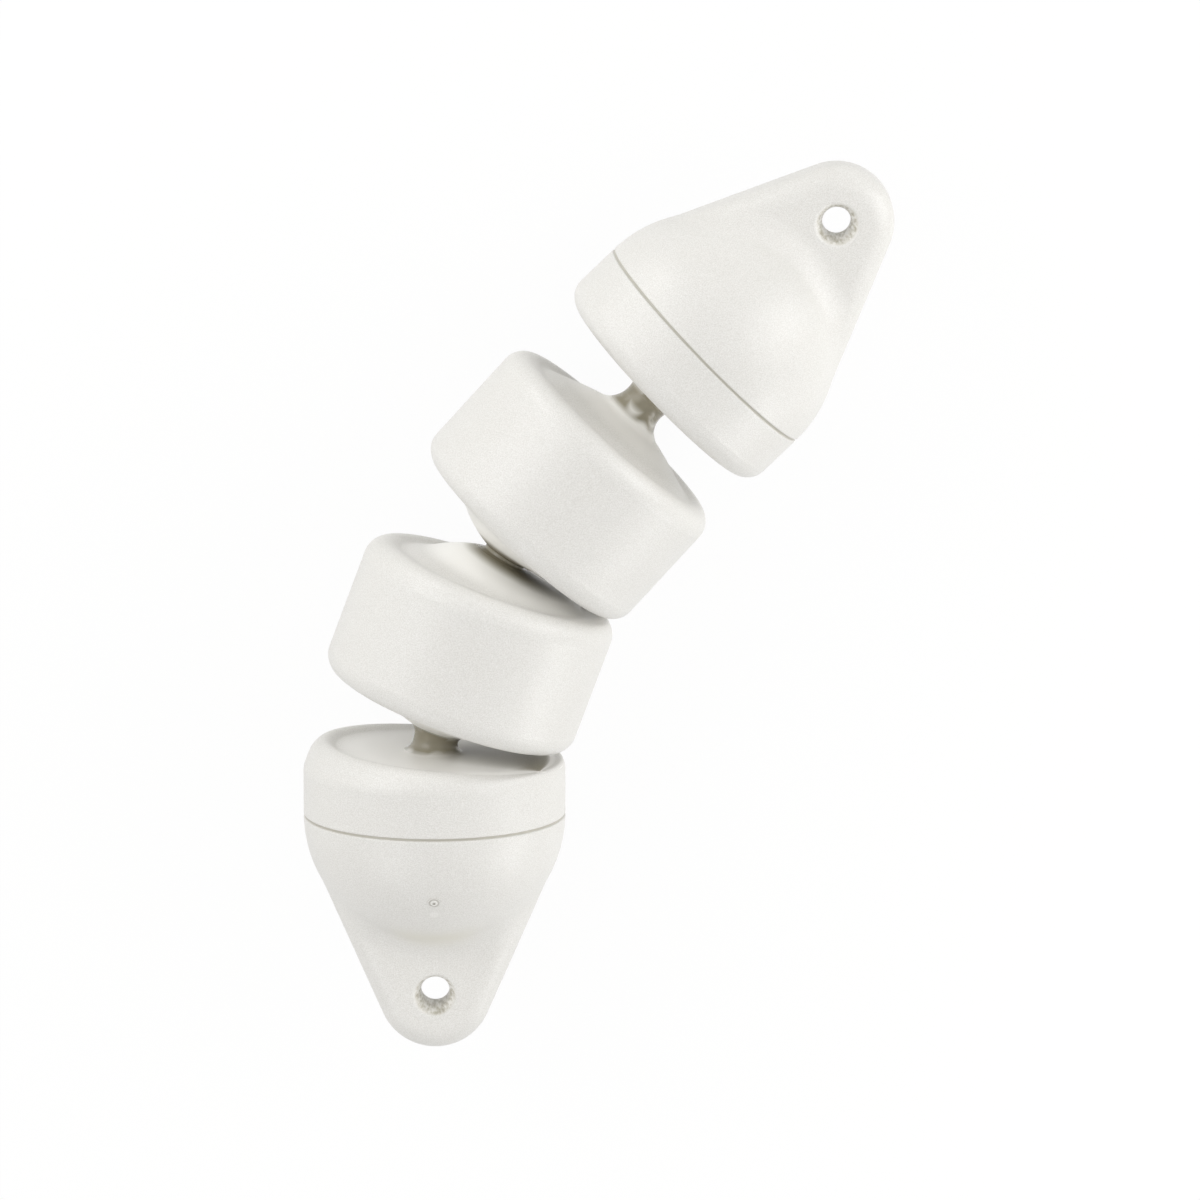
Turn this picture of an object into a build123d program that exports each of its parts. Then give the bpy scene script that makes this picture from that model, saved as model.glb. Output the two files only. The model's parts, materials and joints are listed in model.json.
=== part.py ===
from build123d import *
import os
from math import asin, cos, radians, sin

# Segmented boat fender, lying on its side and curved the way it hugs a hull.
# Lengths are in millimetres and angles in degrees.
# The whole fender lies along the XY plane, with its bottom cap towards -Y and +Z up.
# Each moulded body is drawn on its own axis, local Z. A cap's local +Z points at its neck,
# and its line hole runs along local Y.

# Drums of the segments and caps
drum_radius = 82.5
segment_height = 90.6
cap_drum_height = 41.5
wall = 4.0
tongue_wall = 6.0

# Rounded rim, and the shallow valley just inside it
rim_radius = 13.0
rim_dip_angle = 24.0
valley_radius = 8.0

# Domed cone of a segment's end face: its slope at the valley and at the neck
cone_valley_slope = 22.0
cone_neck_slope = 17.0

# Necks
neck_radius = 14.0
neck_fillet = 5.5
cap_neck_fillet = 5.5
top_neck_gap = 36.8

# Bends of the necks, in the plane that the fender lies along
bottom_bend_angle = 20.4
middle_bend_angle = 21.9
top_bend_angle = 3.8
# What is left between two rims where a bend closes them up
bottom_rim_clearance = 0.3
middle_rim_clearance = 3.0

# Eye tongue
eye_distance = 113.4
tip_radius = 36.0
tongue_thickness = 44.0
tongue_edge_radius = 15.0
tongue_set_in = 1.0
tongue_root_fillet = 12.0

# Line hole of the eye: a straight land between two trumpet mouths
line_hole_radius = 9.0
line_hole_land = 8.0
line_hole_mouth = 14.0
mouth_runout = 0.5

# Groove where the belly of a cap meets its drum
seam_groove_radius = 1.0
seam_groove_depth = 0.9

# Inflation valve, set into the front of the bottom cap's belly
valve_angle = 31.0
valve_seat_radius = 3.8
valve_seat_depth = 1.2
valve_hole_radius = 2.4
valve_rim_clearance = 0.2
valve_recess = 0.2
valve_dome_radius = 2.4
valve_dome_height = 0.7
valve_head_radius = 4.2
valve_head_height = 3.0
valve_head_clearance = 0.4
needle_hole_radius = 0.5
needle_hole_depth = 6.0


# Profiles

def polar_point(centre, radius, angle):
    """Point of an arc in the (r, z) half plane."""
    return (centre[0] + radius * cos(radians(angle)), centre[1] + radius * sin(radians(angle)))


def rim_arcs(crest, valley_end, inset):
    """Rim and valley below a crest height: (centre, radius, start angle, end angle) of each arc."""
    rim_centre = (drum_radius - rim_radius, crest - rim_radius)
    valley_centre = polar_point(rim_centre, rim_radius + valley_radius, 90 + rim_dip_angle)
    rim = (rim_centre, rim_radius - inset, 0, 90 + rim_dip_angle)
    valley = (valley_centre, valley_radius + inset, rim_dip_angle - 90, valley_end)
    return [rim, valley]


def cone_end_arcs(crest, inset):
    """Arcs of a segment's end face, from the drum to the waist of the neck."""
    valley_end = -90 - cone_valley_slope
    arcs = rim_arcs(crest, valley_end, inset)
    cone_foot = polar_point(arcs[1][0], valley_radius, valley_end)
    cone_head_r = neck_radius + neck_fillet * (1 - sin(radians(cone_neck_slope)))
    turn = sin(radians(cone_valley_slope)) - sin(radians(cone_neck_slope))
    cone_size = (cone_foot[0] - cone_head_r) / turn
    cone_centre = polar_point(cone_foot, cone_size, valley_end)
    cone_head = polar_point(cone_centre, cone_size, 90 - cone_neck_slope)
    fillet_centre = polar_point(cone_head, neck_fillet, 90 - cone_neck_slope)
    cone = (cone_centre, cone_size - inset, 90 - cone_valley_slope, 90 - cone_neck_slope)
    neck = (fillet_centre, neck_fillet + inset, -90 - cone_neck_slope, -180)
    return arcs + [cone, neck]


def flat_end_arcs(crest, inset):
    """Arcs of a cap's end face, from the drum to the waist of the neck."""
    arcs = rim_arcs(crest, -90, inset)
    face_height = arcs[1][0][1] - valley_radius
    neck_centre = (neck_radius + cap_neck_fillet, face_height + cap_neck_fillet)
    return arcs + [(neck_centre, cap_neck_fillet + inset, -90, -180)]


def end_edges(arcs, top, inset):
    """Edges of one end: drum side, the arcs with straights between them, and the waist up to its top."""
    start = (drum_radius - inset, 0)
    edges = []
    for centre, radius, first, last in arcs:
        corner = polar_point(centre, radius, first)
        if (Vector(*corner) - Vector(*start)).length > 1e-6:
            edges.append(Line(start, corner))
        edges.append(CenterArc(centre, radius, first, last - first))
        start = polar_point(centre, radius, last)
    waist = neck_radius - inset
    edges.append(Line(start, (waist, top)))
    edges.append(Line((waist, top), (0, top)))
    return edges


def turned(edges):
    """Solid of revolution of a closed (r, z) outline about local Z."""
    outline = Face(Wire(edges))
    return Rot(X=90) * revolve(outline, Axis.Y, 360)


# Lengths that follow from the profiles

segment_crest = segment_height / 2
segment_root = cone_end_arcs(segment_crest, 0)[-1][0][1]
cap_root = flat_end_arcs(cap_drum_height, 0)[-1][0][1]


def closed_gap(bend, clearance):
    """Gap between two rims' crests, along the axes, that leaves this clearance where the bend closes them up."""
    half = radians(bend / 2)
    reach = 2 * rim_radius + clearance + 2 * (drum_radius - rim_radius) * sin(half)
    return reach / cos(half) - 2 * rim_radius


def cap_neck_split(gap):
    """Distances from the cap's seam and from the segment's middle to the pivot of their neck."""
    free_waist = gap - (segment_root - segment_crest) - (cap_root - cap_drum_height)
    return cap_root + free_waist / 2, segment_root + free_waist / 2


bottom_neck_gap = closed_gap(bottom_bend_angle, bottom_rim_clearance)
middle_neck_gap = closed_gap(middle_bend_angle, middle_rim_clearance)
cap_to_bottom_pivot, segment_to_bottom_pivot = cap_neck_split(bottom_neck_gap)
cap_to_top_pivot, segment_to_top_pivot = cap_neck_split(top_neck_gap)
segment_to_middle_pivot = segment_crest + middle_neck_gap / 2


# Moulded bodies, each on its own axis

def segment_body(lower_pivot, upper_pivot, inset):
    """One drum with a cone and half a neck at both ends; inset makes its hollow."""
    arcs = cone_end_arcs(segment_crest, inset)
    stub = 2 * neck_radius
    upper = end_edges(arcs, upper_pivot + stub, inset)
    lower = [edge.mirror(Plane.XZ) for edge in end_edges(arcs, lower_pivot + stub, inset)]
    axis = Line((0, -lower_pivot - stub), (0, upper_pivot + stub))
    return turned(upper + lower + [axis])


def cap_turned(pivot, inset):
    """Drum, flat face, half a neck and round belly of an end cap; inset makes its hollow."""
    size = drum_radius - inset
    top = pivot + 2 * neck_radius
    belly = CenterArc((0, 0), size, -90, 90)
    axis = Line((0, -size), (0, top))
    return turned([belly] + end_edges(flat_end_arcs(cap_drum_height, inset), top, inset) + [axis])


def tongue(inset):
    """Plate with a round tip and rounded edges, whose sides run on from the belly; inset makes its hollow."""
    root = drum_radius - tongue_set_in - inset
    tip_size = tip_radius - inset
    lean = asin((root - tip_size) / eye_distance)
    shoulder = (root * cos(lean), -root * sin(lean))
    tangent = (tip_size * cos(lean), -eye_distance - tip_size * sin(lean))
    tip = (0, -eye_distance - tip_size)
    outline = Face(Wire([
        Line(shoulder, tangent),
        ThreePointArc(tangent, tip, (-tangent[0], tangent[1])),
        Line((-tangent[0], tangent[1]), (-shoulder[0], shoulder[1])),
        Line((-shoulder[0], shoulder[1]), shoulder),
    ]))
    plate = Rot(X=90) * extrude(outline, tongue_thickness / 2 - inset, both=True)
    outer = [edge for edge in plate.edges().filter_by(Axis.Y, reverse=True) if edge.center().Z < shoulder[1] - 1]
    return fillet(outer, tongue_edge_radius - inset)


def line_hole(sleeve):
    """Cutter of the line hole: a straight land that flares into a trumpet mouth at both faces.

    With a sleeve it is that much larger all round, which leaves the hollow the hole's own wall."""
    half_land = line_hole_land / 2
    flare = tongue_thickness / 2 + mouth_runout - half_land
    past = tongue_thickness
    land = line_hole_radius + sleeve
    mouth = line_hole_mouth + sleeve
    upper = [
        Line((land, 0), (land, half_land)),
        EllipticalCenterArc((mouth, half_land), mouth - land, flare, start_angle=180, arc_size=-90),
        Line((mouth, half_land + flare), (mouth, past)),
        Line((mouth, past), (0, past)),
    ]
    lower = [edge.mirror(Plane.XZ) for edge in upper]
    outline = Face(Wire(upper + lower + [Line((0, past), (0, -past))]))
    return Pos(0, 0, -eye_distance) * revolve(outline, Axis.Y, 360)


def seam_groove():
    """Ring cutter of the groove between drum and belly."""
    return Torus(drum_radius + seam_groove_radius - seam_groove_depth, seam_groove_radius)


def cap_body(pivot):
    """End cap with its tongue, line hole and seam groove, not yet hollow."""
    turned_cap = cap_turned(pivot, 0)
    plate = tongue(0)
    joined = turned_cap + plate
    crease = new_edges(turned_cap, plate, combined=joined)
    return fillet(crease, tongue_root_fillet) - line_hole(0) - seam_groove()


def cap_hollow(pivot):
    """Hollow of an end cap, which runs on into the tongue and round the line hole's own wall."""
    return cap_turned(pivot, wall) + (tongue(tongue_wall) - line_hole(tongue_wall))


# Inflation valve, drawn on its own axis with the belly's surface at zero

def valve_plane():
    """Where the valve sits on the bottom cap: its axis stands square on the belly."""
    outward = Vector(0, cos(radians(valve_angle)), -sin(radians(valve_angle)))
    return Plane(origin=outward * drum_radius, x_dir=(1, 0, 0), z_dir=outward)


def valve_seat():
    """Cutter of the valve's seat and of its hole through the wall."""
    down = (Align.CENTER, Align.CENTER, Align.MAX)
    above = (Align.CENTER, Align.CENTER, Align.MIN)
    seat = Pos(0, 0, -valve_seat_depth) * Cylinder(valve_seat_radius, 2 * valve_seat_depth, align=above)
    return seat + Cylinder(valve_hole_radius, 2 * wall, align=down)


def valve_plug():
    """Rubber plug: flange with a low dome, stem through the wall, retaining head and needle hole."""
    flange = valve_seat_radius - valve_rim_clearance
    top = -valve_recess
    under = -wall - valve_head_clearance
    head_tip = under - valve_head_height
    dome_top = top + valve_dome_height
    outline = Face(Wire([
        Line((0, head_tip), (valve_hole_radius, head_tip)),
        Line((valve_hole_radius, head_tip), (valve_head_radius, under - valve_head_height / 3)),
        Line((valve_head_radius, under - valve_head_height / 3), (valve_head_radius, under)),
        Line((valve_head_radius, under), (valve_hole_radius, under)),
        Line((valve_hole_radius, under), (valve_hole_radius, -valve_seat_depth)),
        Line((valve_hole_radius, -valve_seat_depth), (flange, -valve_seat_depth)),
        Line((flange, -valve_seat_depth), (flange, top)),
        Line((flange, top), (valve_dome_radius, top)),
        EllipticalCenterArc((0, top), valve_dome_radius, valve_dome_height, start_angle=0, arc_size=90),
        Line((0, dome_top), (0, head_tip)),
    ]))
    plug = Rot(X=90) * revolve(outline, Axis.Y, 360)
    down = (Align.CENTER, Align.CENTER, Align.MAX)
    return plug - Pos(0, 0, dome_top) * Cylinder(needle_hole_radius, needle_hole_depth, align=down)


# Chain of the four bodies along the bent fender

def heading(angle):
    """Direction of a body's axis, turned clockwise from +Y."""
    return Vector(sin(radians(angle)), cos(radians(angle)), 0)


def frame_at(origin, axis):
    """Local frame of a body with its axis given and its local Y up."""
    return Plane(origin=origin, x_dir=Vector(0, 0, 1).cross(axis), z_dir=axis)


def beyond(pivot, axis):
    """Half space past the plane that halves a neck's bend."""
    reach = 4 * drum_radius
    half_space = Box(reach, reach, reach, align=(Align.CENTER, Align.CENTER, Align.MIN))
    return Plane(origin=pivot, z_dir=axis) * half_space


turn_middle = bottom_bend_angle + middle_bend_angle
axes = [heading(0), heading(bottom_bend_angle), heading(turn_middle), heading(turn_middle + top_bend_angle)]
bottom_seam = Vector(0, 0, 0)
bottom_pivot = bottom_seam + axes[0] * cap_to_bottom_pivot
lower_middle = bottom_pivot + axes[1] * segment_to_bottom_pivot
middle_pivot = lower_middle + axes[1] * segment_to_middle_pivot
upper_middle = middle_pivot + axes[2] * segment_to_middle_pivot
top_pivot = upper_middle + axes[2] * segment_to_top_pivot
top_seam = top_pivot + axes[3] * cap_to_top_pivot

frames = [frame_at(bottom_seam, axes[0]), frame_at(lower_middle, axes[1]),
          frame_at(upper_middle, axes[2]), frame_at(top_seam, -axes[3])]
pivots = [bottom_pivot, middle_pivot, top_pivot]
splits = [(axes[i] + axes[i + 1]).normalized() for i in range(3)]


def chain(bodies):
    """Bodies set in their frames, each cut off at the planes that halve its bends, and joined."""
    joined = None
    for i, body in enumerate(bodies):
        placed = frames[i] * body
        if i > 0:
            placed -= beyond(pivots[i - 1], -splits[i - 1])
        if i < len(pivots):
            placed -= beyond(pivots[i], splits[i])
        joined = placed if joined is None else joined + placed
    return joined


def fender_body():
    """The hollow one-piece moulding."""
    outside = chain([
        cap_body(cap_to_bottom_pivot) - valve_plane() * valve_seat(),
        segment_body(segment_to_bottom_pivot, segment_to_middle_pivot, 0),
        segment_body(segment_to_middle_pivot, segment_to_top_pivot, 0),
        cap_body(cap_to_top_pivot),
    ])
    inside = chain([
        cap_hollow(cap_to_bottom_pivot),
        segment_body(segment_to_bottom_pivot, segment_to_middle_pivot, wall),
        segment_body(segment_to_middle_pivot, segment_to_top_pivot, wall),
        cap_hollow(cap_to_top_pivot),
    ])
    return outside - inside


def inflation_valve():
    """The valve plug in its seat on the bottom cap."""
    return frames[0] * (valve_plane() * valve_plug())


body = fender_body()
box = body.bounding_box()
to_origin = Pos(-box.center().X, -box.center().Y, -box.min.Z)

nodes = {
    "fender_body": to_origin * body,
    "inflation_valve": to_origin * inflation_valve(),
}

os.makedirs("parts", exist_ok=True)
for name, shape in nodes.items():
    export_step(shape, f"parts/{name}.step")

# Places that the eyes, the axes and the valve end up at
for label, frame in (("bottom", frames[0]), ("top", frames[3])):
    eye = to_origin * Pos(*frame.origin) * Vertex(*(frame.z_dir * -eye_distance))
    print(label, "eye centre", [round(v, 3) for v in eye.center()], "hole axis", [round(v, 5) for v in frame.y_dir])
print("neck gaps", round(bottom_neck_gap, 2), round(middle_neck_gap, 2), top_neck_gap)
print("size", [round(v, 1) for v in box.size])
print("volume", round(body.volume / 1000, 1), "cm3, straight length", round(
    2 * (eye_distance + tip_radius) + cap_to_bottom_pivot + cap_to_top_pivot + segment_to_bottom_pivot
    + 2 * segment_to_middle_pivot + segment_to_top_pivot, 1))
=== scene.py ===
# %% [markdown]
# # A segmented boat fender in white vinyl
# The real fender is one hollow moulding: two drums between two end caps, joined by three narrow necks.
# Each cap ends in a flat tongue with a hole for the line. A small rubber valve sits in the bottom cap.
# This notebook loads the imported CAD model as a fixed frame. It then builds the visible skin over it as one
# closed surface, so that the soft roundings, the seam lines and the necks run into each other as they do in vinyl.

import bmesh
import bpy
import numpy as np
from mathutils import Matrix, Vector
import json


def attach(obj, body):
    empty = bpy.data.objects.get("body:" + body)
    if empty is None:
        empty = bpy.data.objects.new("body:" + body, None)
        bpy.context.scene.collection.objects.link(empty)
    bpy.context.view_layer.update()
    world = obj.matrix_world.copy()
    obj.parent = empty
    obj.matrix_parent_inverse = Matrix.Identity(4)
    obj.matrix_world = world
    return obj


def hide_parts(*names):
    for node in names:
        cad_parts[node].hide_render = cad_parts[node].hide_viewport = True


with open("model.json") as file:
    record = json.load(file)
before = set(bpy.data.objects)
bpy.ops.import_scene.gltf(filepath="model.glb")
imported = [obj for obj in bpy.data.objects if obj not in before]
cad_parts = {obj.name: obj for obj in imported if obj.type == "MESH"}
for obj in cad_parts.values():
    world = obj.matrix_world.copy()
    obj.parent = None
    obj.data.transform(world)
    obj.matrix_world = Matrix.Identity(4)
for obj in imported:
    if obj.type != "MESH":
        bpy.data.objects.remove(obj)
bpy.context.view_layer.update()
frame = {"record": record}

# %% [markdown]
# ## End faces
# Every body is a turned shape. Its end face has a rounded rim, a valley behind the rim and a fillet into the neck.
# On a drum a domed cone rises between valley and neck, and on a cap the face is flat there. The outline could be
# drawn point by point. Arcs that touch each other are used instead, as in the CAD model, and in millimetres too.

# %% Sizes of the drums and necks
drum_radius = 82.5
segment_height = 90.6
cap_drum_height = 41.5
rim_radius = 13.0
rim_dip_angle = 24.0
valley_radius = 8.0
cone_valley_slope = 22.0
cone_neck_slope = 17.0
neck_radius = 14.0
neck_fillet = 5.5
print("drums:", 2 * drum_radius, "mm across,", segment_height, "mm high; necks:", 2 * neck_radius, "mm across")


# %% Rim and valley
def polar(centre, radius, angle):
    """Point of a circle: its centre plus the radius times the cosine and sine of the angle."""
    turn = np.radians(angle)
    return np.array([centre[0] + radius * np.cos(turn), centre[1] + radius * np.sin(turn)])


def rim_arcs(crest, valley_end):
    """Rim and valley of an end face as (centre, radius, first angle, last angle) in the (r, z) half plane."""
    rim_centre = np.array([drum_radius - rim_radius, crest - rim_radius])
    valley_centre = polar(rim_centre, rim_radius + valley_radius, 90 + rim_dip_angle)
    return [(rim_centre, rim_radius, 0, 90 + rim_dip_angle),
            (valley_centre, valley_radius, rim_dip_angle - 90, valley_end)]


print("valley centre of a cap:", np.round(rim_arcs(cap_drum_height, -90)[1][0], 2), "mm")


# %% End faces of a drum and of a cap
def segment_arcs(fillet_radius=neck_fillet):
    """End face of a drum segment: rim, valley, domed cone and the fillet into the neck, tangent to each other."""
    valley_end = -90 - cone_valley_slope
    arcs = rim_arcs(segment_height / 2, valley_end)
    foot = polar(arcs[1][0], valley_radius, valley_end)
    head_r = neck_radius + fillet_radius * (1 - np.sin(np.radians(cone_neck_slope)))
    turn = np.sin(np.radians(cone_valley_slope)) - np.sin(np.radians(cone_neck_slope))
    size = (foot[0] - head_r) / turn
    centre = polar(foot, size, valley_end)
    head = polar(centre, size, 90 - cone_neck_slope)
    fillet = polar(head, fillet_radius, 90 - cone_neck_slope)
    return arcs + [(centre, size, 90 - cone_valley_slope, 90 - cone_neck_slope),
                   (fillet, fillet_radius, -90 - cone_neck_slope, -180)]


def cap_arcs(fillet_radius=neck_fillet):
    """End face of a cap: rim, valley, a flat annulus and the fillet into the neck."""
    arcs = rim_arcs(cap_drum_height, -90)
    face = arcs[1][0][1] - valley_radius
    fillet = np.array([neck_radius + fillet_radius, face + fillet_radius])
    return arcs + [(fillet, fillet_radius, -90, -180)]


segment_root = segment_arcs()[-1][0][1]
cap_root = cap_arcs()[-1][0][1]
print("necks start at", round(float(segment_root), 2), "mm on a drum and", round(float(cap_root), 2), "mm on a cap")

# %% [markdown]
# ## Gaps between the bodies
# Where a neck is bent far, the rims on the closed side nearly touch, and that sets how far apart the bodies sit.
# The top neck is hardly bent, so its gap is a size of its own.

# %% Neck gaps and pivots
bend_angles = (20.4, 21.9, 3.8)
rim_clearances = (0.3, 3.0)
top_neck_gap = 36.8


def closed_gap(bend, clearance):
    """Gap between two crests, along the axes, that leaves the clearance where the bend closes the rims up."""
    half = np.radians(bend / 2)
    reach = 2 * rim_radius + clearance + 2 * (drum_radius - rim_radius) * np.sin(half)
    return reach / np.cos(half) - 2 * rim_radius


def pivot_distances(gap):
    """From a cap's seam and from a segment's middle to the pivot of the neck between them."""
    free = gap - (segment_root - segment_height / 2) - (cap_root - cap_drum_height)
    return cap_root + free / 2, segment_root + free / 2


neck_gaps = (closed_gap(bend_angles[0], rim_clearances[0]), closed_gap(bend_angles[1], rim_clearances[1]),
             top_neck_gap)
cap_low, segment_low = pivot_distances(neck_gaps[0])
cap_high, segment_high = pivot_distances(neck_gaps[2])
segment_mid = segment_height / 2 + neck_gaps[1] / 2
print("neck gaps in mm:", [round(float(g), 2) for g in neck_gaps])

# %% [markdown]
# ## The line that the bodies follow
# The fender lies flat and bends only at its necks. Each body keeps its own straight axis. The chain starts at the
# bottom line hole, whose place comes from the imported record, so the skin lies where the CAD model lies.

# %% Origins and axes of the four bodies
eye_distance = 113.4
up = np.array([0.0, 0.0, 1.0])
headings = np.radians(np.cumsum((0.0,) + bend_angles))
axes = np.stack([np.sin(headings), np.cos(headings), 0 * headings], axis=1)
hole = next(m for m in frame["record"]["mounts"] if m["name"] == "bottom_line_hole")
bottom_seam = np.array(hole["pos_m"]) * 1000 + axes[0] * eye_distance
low_pivot = bottom_seam + axes[0] * cap_low
low_middle = low_pivot + axes[1] * segment_low
mid_pivot = low_middle + axes[1] * segment_mid
high_middle = mid_pivot + axes[2] * segment_mid
high_pivot = high_middle + axes[2] * segment_high
top_seam = high_pivot + axes[3] * cap_high
origins = [bottom_seam, low_middle, high_middle, top_seam]
pivots = [low_pivot, mid_pivot, high_pivot]
splits = [(axes[i] + axes[i + 1]) / np.linalg.norm(axes[i] + axes[i + 1]) for i in range(3)]
print("top seam at", np.round(top_seam, 1), "mm")

# %% [markdown]
# ## Bending the necks
# A sharp corner in the centre line would fold the neck's skin. Near a pivot the line therefore follows a short
# smooth curve, and the points of both bodies beside it are set along that curve. A rim within reach of a pivot tilts
# with it, which keeps the two rims apart on the closed side.

# %% Place of a body's points in the chain
bend_reach = 12.0


def set_in_chain(body, points):
    """Puts local points (x across, y up, z along the axis) of one body into the shared frame.

    Away from a pivot a point is origin + x·X + y·Y + z·A. Within the bend reach L of a pivot, with w running
    from 0 to 1 across the bend, the centre is pivot - (1-w)²·L·A0 + w²·L·A1 and the axis is the blend
    (1-w)·A0 + w·A1, made a unit vector."""
    x, y, z = points[..., 0], points[..., 1], points[..., 2]
    axis = np.broadcast_to(axes[body], points.shape).copy()
    centre = origins[body] + z[..., None] * axes[body]
    for i in (body - 1, body):
        if not 0 <= i < 3:
            continue
        s = (centre - pivots[i]) @ axes[body]
        past = s if i == body else -s
        near = (past > -bend_reach) & (past < bend_reach)
        w = np.clip((s / bend_reach + 1) / 2, 0, 1)[..., None]
        a0, a1 = axes[i], axes[i + 1]
        curve = pivots[i] + bend_reach * (w * w * a1 - (1 - w) ** 2 * a0)
        lean = (1 - w) * a0 + w * a1
        lean = lean / np.linalg.norm(lean, axis=-1, keepdims=True)
        centre = np.where(near[..., None], curve, centre)
        axis = np.where(near[..., None], lean, axis)
    across = np.cross(up, axis)
    return centre + x[..., None] * across + y[..., None] * up


print("necks bend over", 2 * bend_reach, "mm each")

# %% [markdown]
# ## Outlines as rows of points
# The arcs are sampled into rows, close together where the outline turns fast. A neck on the real fender is a spool
# with no straight part, so its fillet is opened until it nearly reaches the pivot. The middle gap is too short for
# that: its fillet closes to 0.4 mm and the two cones nearly meet. The photograph shows a longer neck there, so this
# is a known fault.

# %% Rows along a chain of arcs
arc_steps = (2.3, 1.3, 3.0, 1.0)
straight_step = 3.5
waist_step = 2.0
touching = 0.05
spool_margin = 0.6


def walk(arcs, top):
    """Points of an outline: every arc at its own spacing, with straights between the arcs in even steps."""
    rows = []
    for (centre, radius, first, last), step in zip(arcs, arc_steps):
        count = max(3, int(np.ceil(radius * np.radians(abs(last - first)) / step)) + 1)
        points = np.stack(polar(centre, radius, np.linspace(first, last, count)), axis=1)
        if rows:
            gap = np.linalg.norm(points[0] - rows[-1][-1])
            if gap > touching:
                cuts = np.linspace(0, 1, int(np.ceil(gap / straight_step)) + 1)[1:-1, None]
                rows.append(rows[-1][-1] * (1 - cuts) + points[0] * cuts)
            else:
                points = points[1:]
        rows.append(points)
    waist_start = rows[-1][-1]
    count = max(2, int(np.ceil((top - waist_start[1]) / waist_step)) + 1)
    waist = np.stack([np.full(count, waist_start[0]), np.linspace(waist_start[1], top, count)], axis=1)[1:]
    return np.concatenate(rows + [waist])


def spool(arcs_of, pivot):
    """Arcs of an end face with the neck's fillet as wide as the gap allows, so that the neck is a spool.

    The fillet's top rises evenly with its radius, so the radius for a top just below the pivot is a ratio."""
    low, high = arcs_of(neck_fillet)[-1][0][1], arcs_of(neck_fillet + 1)[-1][0][1]
    radius = neck_fillet + (pivot - spool_margin - low) / (high - low)
    return arcs_of(radius)


print("fillet of the middle neck:", round(float(spool(segment_arcs, segment_mid)[-1][1]), 1), "mm")

# %% [markdown]
# ## Side walls
# The mould leaves a faint raised line where the side wall passes into the rounded rim. It is a small change of
# the radius, with close rows only where it needs them.

# %% Side wall and outline of a drum
line_height, line_width = 0.03, 0.9
line_below_rim = 1.0
row_lift = 0.05
line_rows = np.linspace(-1.8, 1.0, 9)
plain_end = 2.5


def side_rows(heights, line_at):
    """Side wall: the drum radius plus a mould line, its height times the bell curve of the distance from it."""
    line = line_height * np.exp(-((heights - line_at) / line_width) ** 2)
    return np.stack([drum_radius + line, heights], axis=1)


segment_line = segment_height / 2 - rim_radius - line_below_rim
segment_side = np.concatenate([np.linspace(0, segment_line - plain_end, 5), segment_line + line_rows])


def segment_outline(pivot):
    """(r, z) rows of a segment's upper half, from its middle to the pivot of its neck."""
    face = walk(spool(segment_arcs, pivot), pivot)
    face[0, 1] += row_lift
    return np.concatenate([side_rows(segment_side, segment_line), face])


print("rows of half a segment:", len(segment_outline(segment_mid)))

# %% [markdown]
# ## The seam
# Where a cap's belly meets its drum, the real fender has a fine groove with slightly raised lips. It belongs to
# both sides of the seam, so one formula serves the drum above it and the belly below it.

# %% Groove and outline of a cap
seam_heights = np.array([0.0, 0.35, 0.6, 0.8, 1.0, 1.2, 1.5, 2.0, 2.7, 3.6])
groove_depth, groove_half_width = 1.0, 0.85
seam_lip_height, seam_lip_at, seam_lip_width = 0.05, 2.0, 0.8
first_plain_row = 5.5


def groove(z):
    """Depth of the seam groove: a flat bell 1 mm deep and 1.7 mm wide, less the bell of a raised lip beside it."""
    lip = seam_lip_height * np.exp(-((np.abs(z) - seam_lip_at) / seam_lip_width) ** 2)
    return groove_depth * np.exp(-(z / groove_half_width) ** 4) - lip


cap_line = cap_drum_height - rim_radius - line_below_rim
cap_side = np.concatenate([seam_heights, np.linspace(first_plain_row, cap_line - plain_end, 4),
                           cap_line + line_rows])


def cap_outline(pivot):
    """(r, z) rows of a cap from its seam to the pivot of its neck."""
    side = side_rows(cap_side, cap_line)
    side[:, 0] -= groove(cap_side)
    face = walk(spool(cap_arcs, pivot), pivot)
    face[0, 1] += row_lift
    return np.concatenate([side, face])


print("rows of a cap:", len(cap_outline(cap_low)))

# %% [markdown]
# ## Turning the outlines
# A turned body is its outline carried round the axis. All bodies share the same angles, so that two halves of a
# neck meet point on point.

# %% Rings of a turned outline
columns = 160
first_angle = 13.5
uniform = np.radians(first_angle + np.arange(columns) * 360 / columns)


def turned_rows(outline):
    """Rings of a turned outline: x = r·cos, y = r·sin at every column's angle."""
    r, z = outline[:, :1], outline[:, 1:]
    return np.stack([r * np.cos(uniform), r * np.sin(uniform), z + 0 * uniform], axis=-1)


print("a cap's turned part:", turned_rows(cap_outline(cap_low)).shape)

# %% [markdown]
# ## Belly and tongue of a cap
# A cap's round belly flattens into a thick tongue. Both are plain shapes: a ball, and a plate with a round tip.
# The vinyl flows from one into the other through a wide fillet. Cutting and filleting two meshes would leave a
# rough border, so the two are joined as distance fields with a round union.

# %% Distance field of the tongue
tip_radius = 36.0
tongue_thickness = 44.0
tongue_edge_radius = 15.0
tongue_set_in = 1.0
edge_height = tongue_thickness / 2 - tongue_edge_radius
root = drum_radius - tongue_set_in


def plate_outline_distance(x, z):
    """Distance from the tongue's outline in its plane: two circles of different size and their common tangents."""
    lean = (root - tip_radius) / eye_distance
    slant = np.sqrt(1 - lean * lean)
    px, pz = np.abs(x), -z
    along = pz * slant - px * lean
    to_root = np.hypot(px, pz) - root
    to_tip = np.hypot(px, pz - eye_distance) - tip_radius
    to_side = px * slant + pz * lean - root
    return np.where(along < 0, to_root, np.where(along > slant * eye_distance, to_tip, to_side))


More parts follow.
